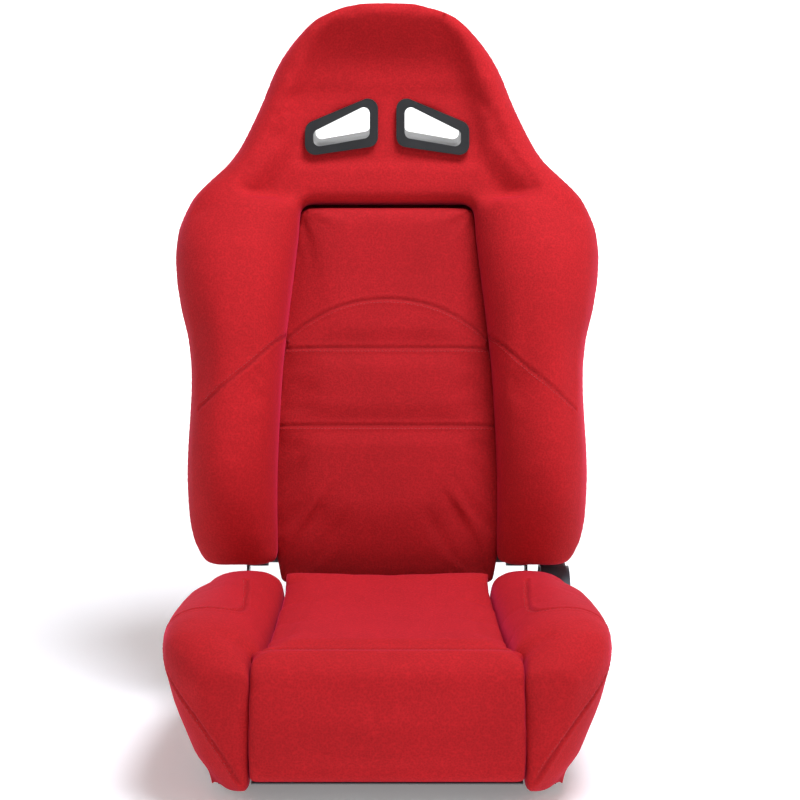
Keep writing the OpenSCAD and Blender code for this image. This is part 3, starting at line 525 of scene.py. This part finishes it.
def dress(skin, cloth, body, nodes):
    """The skin gets its cloth, stands for its plain solids and rides on their body."""
    for face in skin.data.polygons:
        face.use_smooth = True
    skin.data.materials.clear()
    skin.data.materials.append(cloth)
    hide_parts(*nodes)
    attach(skin, body)

# %% [markdown]
# The backrest leans back by 17 degrees about the hinge line. Its seams are easiest to give in its own
# plane: x across, s up the back from the hinge, d rearwards. One function turns such a point into the
# frame's x, y, z.

# %% The backrest's own plane
LEAN = math.radians(17)
HINGE = np.array([0.0, 0.215, 0.115])
UP_BACK = np.array([0, math.sin(LEAN), math.cos(LEAN)])
TO_REAR = np.array([0, math.cos(LEAN), -math.sin(LEAN)])
FLIP = [-1, 1, 1]                           # a line times this is its mirror image


def on_back(x, s, d=0.0):
    """A point of the backrest, from millimetres in its own plane to metres in the frame."""
    return np.array([x * MM, 0, 0]) + HINGE + (s * UP_BACK + d * TO_REAR) * MM


def back_coordinates(points):
    """x, s and d in millimetres for points of the frame."""
    offset = points - HINGE
    return points[:, 0] / MM, offset @ UP_BACK / MM, offset @ TO_REAR / MM


def mirrored(line):
    return [(-x, *rest) for x, *rest in line]


# %% [markdown]
# The outer wrap of the backrest is one cover. It goes over the head, the shoulders and both side bolsters
# without a break, and it is sewn down round the centre panel and held under the two moulded slot rims.
# The three plain solids it covers are joined into one skin. Where the head meets the bolsters the skin is
# smoothed for many more rounds, since the real foam is one moulding there.

# %% Outer wrap: one skin
WRAP_NODES = ["head_pad", "back_bolster_left", "back_bolster_right"]
SHOULDER_S = 525                            # where the head meets the bolsters, up the back


def slot_distance(points):
    """How far, in mm, each point is from the outline of the nearer slot rim, seen from the front."""
    gaps = []
    for side in ("left", "right"):
        low, high = (np.array(corner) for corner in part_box(f"harness_bezel_{side}"))
        outside = np.maximum(np.maximum(low - points, points - high), 0)[:, [0, 2]]
        gaps.append(np.linalg.norm(outside, axis=1) / MM)
    return np.minimum(*gaps)


wrap = skin_of("back_wrap", WRAP_NODES, 6 * MM, 16)
x, s, d = back_coordinates(points_of(wrap))
near_shoulder = fade(np.abs(s - SHOULDER_S), 18, 75)
smooth(wrap, 90, near_shoulder * (1 - fade(slot_distance(points_of(wrap)), 2, 16)))
x, s, d = back_coordinates(points_of(wrap))
hold = np.maximum(fade(slot_distance(points_of(wrap)), 4, 26), fade(-d, -30, -5))
inflate(wrap, hold, 4 * MM)

# %% [markdown]
# Air alone makes every pad equally round, and the real foam isn't. Where the head rests the cover lies in
# a shallow dish under a lip, the crown is pushed up, and the feet of the bolsters hang down. Each is a
# smooth bump that fades out, added in the backrest's own plane.

# %% Outer wrap: dish, crown and feet
DISH_DEEP, DISH_S = 9, 716                  # how far the foam gives way for the head, and how far up
DISH_LIP, LIP_S = 7, 764                    # how far the lip above it stands forward, and how far up
CROWN_LIFT, CROWN_S = 6, 780                # how far the crown is pushed up
FOOT_DROP = 4                               # how far the feet of the bolsters hang down
HEAD_S = 730                                # the middle of the head
points = points_of(wrap)
x, s, d = back_coordinates(points)
middle = np.clip(1 - (x / 120) ** 2, 0, 1) * fade(d, -52, -44) * (1 - fade(slot_distance(points), 5, 24))
dish = DISH_DEEP * np.exp(-((s - DISH_S) / 26) ** 2) - DISH_LIP * np.exp(-((s - LIP_S) / 20) ** 2)
move_points(wrap, points + (middle * dish * MM)[:, None] * TO_REAR)
x, s, d = back_coordinates(points_of(wrap))
feet = fade(s, 95, 160) * fade(-np.abs(x), -170, -110)
lift = CROWN_LIFT * fade(CROWN_S - s, 0, 90) - FOOT_DROP * feet
move_points(wrap, points_of(wrap) + (lift * MM)[:, None] * UP_BACK)
smooth(wrap, 6, fade(np.abs(s - HEAD_S), 50, 70) * (1 - fade(slot_distance(points), 2, 12)))
divide(wrap)
print("crown lifted", CROWN_LIFT, "mm, head dished", DISH_DEEP, "mm")

# %% [markdown]
# Two seams show on the wrap. One carries the arch of the centre panel out over each bolster. The other
# runs along the side, from the foot over the shoulder to the crown, where the front of the cover is
# joined to its side.

# %% Outer wrap: seams
ARCH = [(0, 399), (48, 393), (87, 378), (130, 350), (171, 305), (203, 279), (241, 247)]
SEAM_D = -60                                # a depth in front of the pads, from which the lines are laid
SIDE_LINE = [
    (232, 84, -62), (243, 112, -66), (247, 172, -72), (246, 285, -72), (249, 340, -72),
    (260, 392, -72), (267, 452, -68), (262, 500, -62), (240, 545, -56), (205, 580, -52),
    (168, 640, -50), (146, 700, -56), (112, 742, -66), (60, 768, -80), (0, 776, -90),
]
arch_right = rounded_path([on_back(x, s, SEAM_D) for x, s in ARCH[3:]])
wrap_seams = [lay_on(wrap, line, TO_REAR) for line in (arch_right, arch_right * FLIP)]
side_right = rounded_path([on_back(x, s, d) for x, s, d in SIDE_LINE])
side_seams = [lay_on(wrap, side_right), lay_on(wrap, side_right * FLIP)]
sew(wrap, wrap_seams, shade=0.4)
sew(wrap, side_seams, width=1.5, depth=1.0, shade=0.15)
dress(wrap, red_cloth, "backrest", WRAP_NODES)
print("back wrap:", len(wrap.data.vertices), "points")

# %% [markdown]
# The centre panel is a pad of its own, sunk between the bolsters. Two straight sewn lines cross it, and
# an arch runs over it and on over the bolsters. Between its seams it is crowned. Its rim is held down in
# the simulation and pressed outwards after it, so that no gap opens beside the bolsters.

# %% Centre panel of the backrest
insert = skin_of("back_insert", ["back_insert_pad"], 5 * MM, 14)
x, s, d = back_coordinates(points_of(insert))
PANEL_LINES = (333, 231)
WALL_PRESS = 2.0                            # the pad's side walls press against the bolsters
walls = fade(-normals_of(insert) @ TO_REAR, 0.15, 0.75)
along_lines = [fade(np.abs(s - at), 3, 30) * 0.8 for at in PANEL_LINES]
hold = np.maximum.reduce(along_lines + [fade(-d, -60, -30), walls])
inflate(insert, hold, 5 * MM)
move_points(insert, points_of(insert) + normals_of(insert) * (WALL_PRESS * MM * walls)[:, None])
divide(insert)
PANEL_HALF = 160                            # past the pad's edge on both sides
panel_seams = [rounded_path([on_back(-PANEL_HALF, at, SEAM_D), on_back(PANEL_HALF, at, SEAM_D)])
               for at in PANEL_LINES]
whole_arch = mirrored(ARCH[4:0:-1]) + ARCH[:5]
arch_middle = rounded_path([on_back(x, s, SEAM_D) for x, s in whole_arch])
panel_seams = [lay_on(insert, line, TO_REAR) for line in panel_seams + [arch_middle]]
sew(insert, panel_seams)
dress(insert, red_panel, "backrest", ["back_insert_pad"])

# %% [markdown]
# The rear of the backrest is closed by a thin padded panel, glued over a board and tucked in all round.

# %% Rear panel
rear = skin_of("back_rear_panel", ["back_rear_cover"], 2.8 * MM, 22)
dress(rear, red_panel, "backrest", ["back_rear_cover"])

# %% [markdown]
# Where the panel meets the wrap, a real seat has piping: a cord in a sleeve of the same cloth, which
# hides the joint and takes the wear. Its path is the outermost point of the panel in each direction,
# evened out by averaging each point with its neighbours, so that the cord runs smoothly however the
# panel's own edge wanders.


# %% Piping round the rear panel
PIPING_R = 3.5
PANEL_MIDDLE = 420                          # up the back, the point that the directions start from
DIRECTIONS = 180
x, s, d = back_coordinates(points_of(rear))
turn = np.arctan2(s - PANEL_MIDDLE, x)
sectors = np.floor((turn + math.pi) / (2 * math.pi) * DIRECTIONS).astype(int) % DIRECTIONS
reach = np.hypot(x, s - PANEL_MIDDLE)
rim = np.array([max(np.flatnonzero(sectors == k), key=lambda i: reach[i]) for k in range(DIRECTIONS)])
path = points_of(rear)[rim]
for _ in range(8):
    path = 0.25 * np.roll(path, 1, axis=0) + 0.5 * path + 0.25 * np.roll(path, -1, axis=0)


def cord(name, line, radius, material, body):
    """A round cord along a closed line, which rides on a body."""
    curve = bpy.data.curves.new(name, "CURVE")
    curve.dimensions = "3D"
    curve.bevel_depth = radius
    curve.bevel_resolution = 4
    spline = curve.splines.new("POLY")
    spline.points.add(len(line) - 1)
    spline.points.foreach_set("co", np.c_[line, np.ones(len(line))].ravel())
    spline.use_cyclic_u = True
    spline.use_smooth = True
    curve.materials.append(material)
    piece = bpy.data.objects.new(name, curve)
    scene.collection.objects.link(piece)
    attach(piece, body)
    return piece


cord("back_piping", path, PIPING_R * MM, red_panel, "backrest")
print("piping:", round(sum(np.linalg.norm(np.roll(path, 1, axis=0) - path, axis=1)), 2), "m long")

# %% [markdown]
# The cushion has a centre panel that runs into a roll under the knees, and two bolsters. Panel and roll
# are one cover with a seam across, so their solids are joined before they are blown out. The bolsters are
# blown out on their own, so that deep creases form where they meet the centre.

# %% Cushion centre
CENTRE_NODES = ["seat_insert_pad", "seat_front_roll"]
centre = skin_of("seat_centre", CENTRE_NODES, 6 * MM, 14)
place = points_of(centre) / MM
ROLL_SEAM_Y = -190
hold = np.maximum(fade(place[:, 2], 45, 70), 0.9 * fade(np.abs(place[:, 1] - ROLL_SEAM_Y), 3, 26))
inflate(centre, hold, 6 * MM)
divide(centre)
ends = [(-150, ROLL_SEAM_Y, 190), (150, ROLL_SEAM_Y, 190)]
roll_seam = rounded_path(np.array(ends) * MM)
centre_seams = [lay_on(centre, roll_seam, (0, 0, -1))]
sew(centre, centre_seams, width=2.6, depth=2.0, shade=0.35)
dress(centre, red_cloth, "base", CENTRE_NODES)
print("cushion centre:", len(centre.data.vertices), "points")

# %% [markdown]
# Each bolster of the cushion has a seam that waves across its top and another down its outer side. Its
# foam is firm along the outer top edge, which the air would round off too far, so that edge is pushed
# back out.

# %% Cushion bolsters
WAVE = [
    (176, 60, 186), (175, 0, 184), (174, -60, 184), (178, -100, 184), (190, -118, 187),
    (206, -122, 192), (222, -120, 193), (240, -124, 188), (252, -140, 180),
]
SIDE_SEAM = [
    (252, -60, 172), (253, -110, 172), (254, -150, 168), (247, -190, 156), (228, -215, 134),
    (206, -228, 112), (190, -236, 84), (176, -240, 56), (168, -242, 40),
]
SHOULDER_PUSH = 8                           # how far firm foam squares the outer top corner, in mm
CORNER_X, CORNER_Z = 246, 180               # where that corner is
bolster_seams = {}
for side in ("left", "right"):
    bolster = skin_of(f"seat_side_{side}", [f"seat_bolster_{side}"], 6 * MM, 14)
    inflate(bolster, fade(points_of(bolster)[:, 2] / MM, 60, 100), 4 * MM)
    place = points_of(bolster)
    x, y, z = place.T / MM
    corner = np.exp(-((np.abs(x) - CORNER_X) / 24) ** 2 - ((z - CORNER_Z) / 26) ** 2)
    corner *= fade(np.abs(y + 60), 110, 170)
    push = np.stack([0.75 * np.sign(x), 0 * x, 0.65 + 0 * x], 1)
    move_points(bolster, place + push * (SHOULDER_PUSH * MM * corner)[:, None])
    divide(bolster)
    sign = 1 if side == "right" else -1
    seams = [lay_on(bolster, rounded_path(np.array(line) * [sign * MM, MM, MM]))
             for line in (WAVE, SIDE_SEAM)]
    sew(bolster, seams, width=2.0, depth=2.0, roll=0.7, shade=0.35)
    dress(bolster, red_cloth, "base", [f"seat_bolster_{side}"])
    bolster_seams[side] = bolster, seams
print("cushion bolsters:", sorted(bolster_seams))

# %% [markdown]
# Topstitching is what shows that a cover was sewn: a row of single stitches beside each seam, 4.5 mm
# apart. Bonded polyester thread is 0.6 mm thick, so each stitch is a small spindle of that size laid on
# the cloth. All the stitches of a cushion are one mesh. They follow the seam at a fixed distance and sit
# where the cloth is.


# %% Topstitching
STITCH_PACE = 4.5 * MM
STITCH_LONG = 3.4 * MM
STITCH_R = 0.35 * MM
STITCH_BESIDE = 4.5 * MM                    # how far the row is from the seam
SPINDLE = [(-0.5, 0.3), (-0.3, 0.95), (0.0, 1.1), (0.3, 0.95), (0.5, 0.3)]
SIDES = 6


def topstitch(name, skin, lines, body):
    """Rows of thread beside the lines, each stitch a spindle of six sides."""
    tree, points, faces = tree_of(skin), [], []
    ring_of = range(SIDES)
    for line in lines:
        run = np.r_[0, np.cumsum(np.linalg.norm(np.diff(line, axis=0), axis=1))]
        even = np.arange(STITCH_PACE, run[-1] - STITCH_PACE, STITCH_PACE)
        row = np.stack([np.interp(even, run, column) for column in line.T], 1)
        for before, here, after in zip(row[:-2], row[1:-1], row[2:]):
            ahead = Vector(after - before).normalized()
            out = tree.find_nearest(Vector(here))[1]
            beside = ahead.cross(out).normalized()
            spot, out = tree.find_nearest(Vector(here) + beside * STITCH_BESIDE)[:2]
            ahead = (ahead - out * ahead.dot(out)).normalized()
            beside = ahead.cross(out)
            first = len(points)
            for along, thick in SPINDLE:
                for k in ring_of:
                    angle = k * math.tau / SIDES
                    round_it = (beside * math.cos(angle) + out * math.sin(angle)) * (thick * STITCH_R)
                    points.append(spot + ahead * (along * STITCH_LONG) + round_it)
            for a in range(first, len(points) - SIDES, SIDES):
                b = a + SIDES
                faces += [(a + k, a + (k + 1) % SIDES, b + (k + 1) % SIDES, b + k) for k in ring_of]
            faces.append(tuple(first + k for k in ring_of)[::-1])
            faces.append(tuple(len(points) - SIDES + k for k in ring_of))
    data = bpy.data.meshes.new(name)
    data.from_pydata(points, [], faces)
    data.materials.append(thread)
    for face in data.polygons:
        face.use_smooth = True
    piece = bpy.data.objects.new(name, data)
    scene.collection.objects.link(piece)
    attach(piece, body)
    print(name, len(points) // (len(SPINDLE) * SIDES), "stitches")


thread = new_material("bonded_polyester_thread")
place = add(thread, "ShaderNodeTexCoord").outputs["Object"]
plies = add(thread, "ShaderNodeTexWave", Vector=place, Scale=1 / (2.5 * MM), Distortion=1.5).outputs["Fac"]
twist = add(thread, "ShaderNodeBump", Height=plies, Strength=0.3, Distance=0.1 * MM).outputs["Normal"]
dyed = two_tones(thread, plies, "#8e121b", "#b01c26")
finish_with(thread, add(thread, "ShaderNodeBsdfPrincipled",
                        Base_Color=dyed, Roughness=0.5, IOR=1.5, Normal=twist))
topstitch("back_wrap_stitches", wrap, wrap_seams, "backrest")
topstitch("back_insert_stitches", insert, panel_seams, "backrest")
topstitch("seat_centre_stitches", centre, centre_seams, "base")
for side, (bolster, seams) in bolster_seams.items():
    topstitch(f"seat_side_{side}_stitches", bolster, seams, "base")
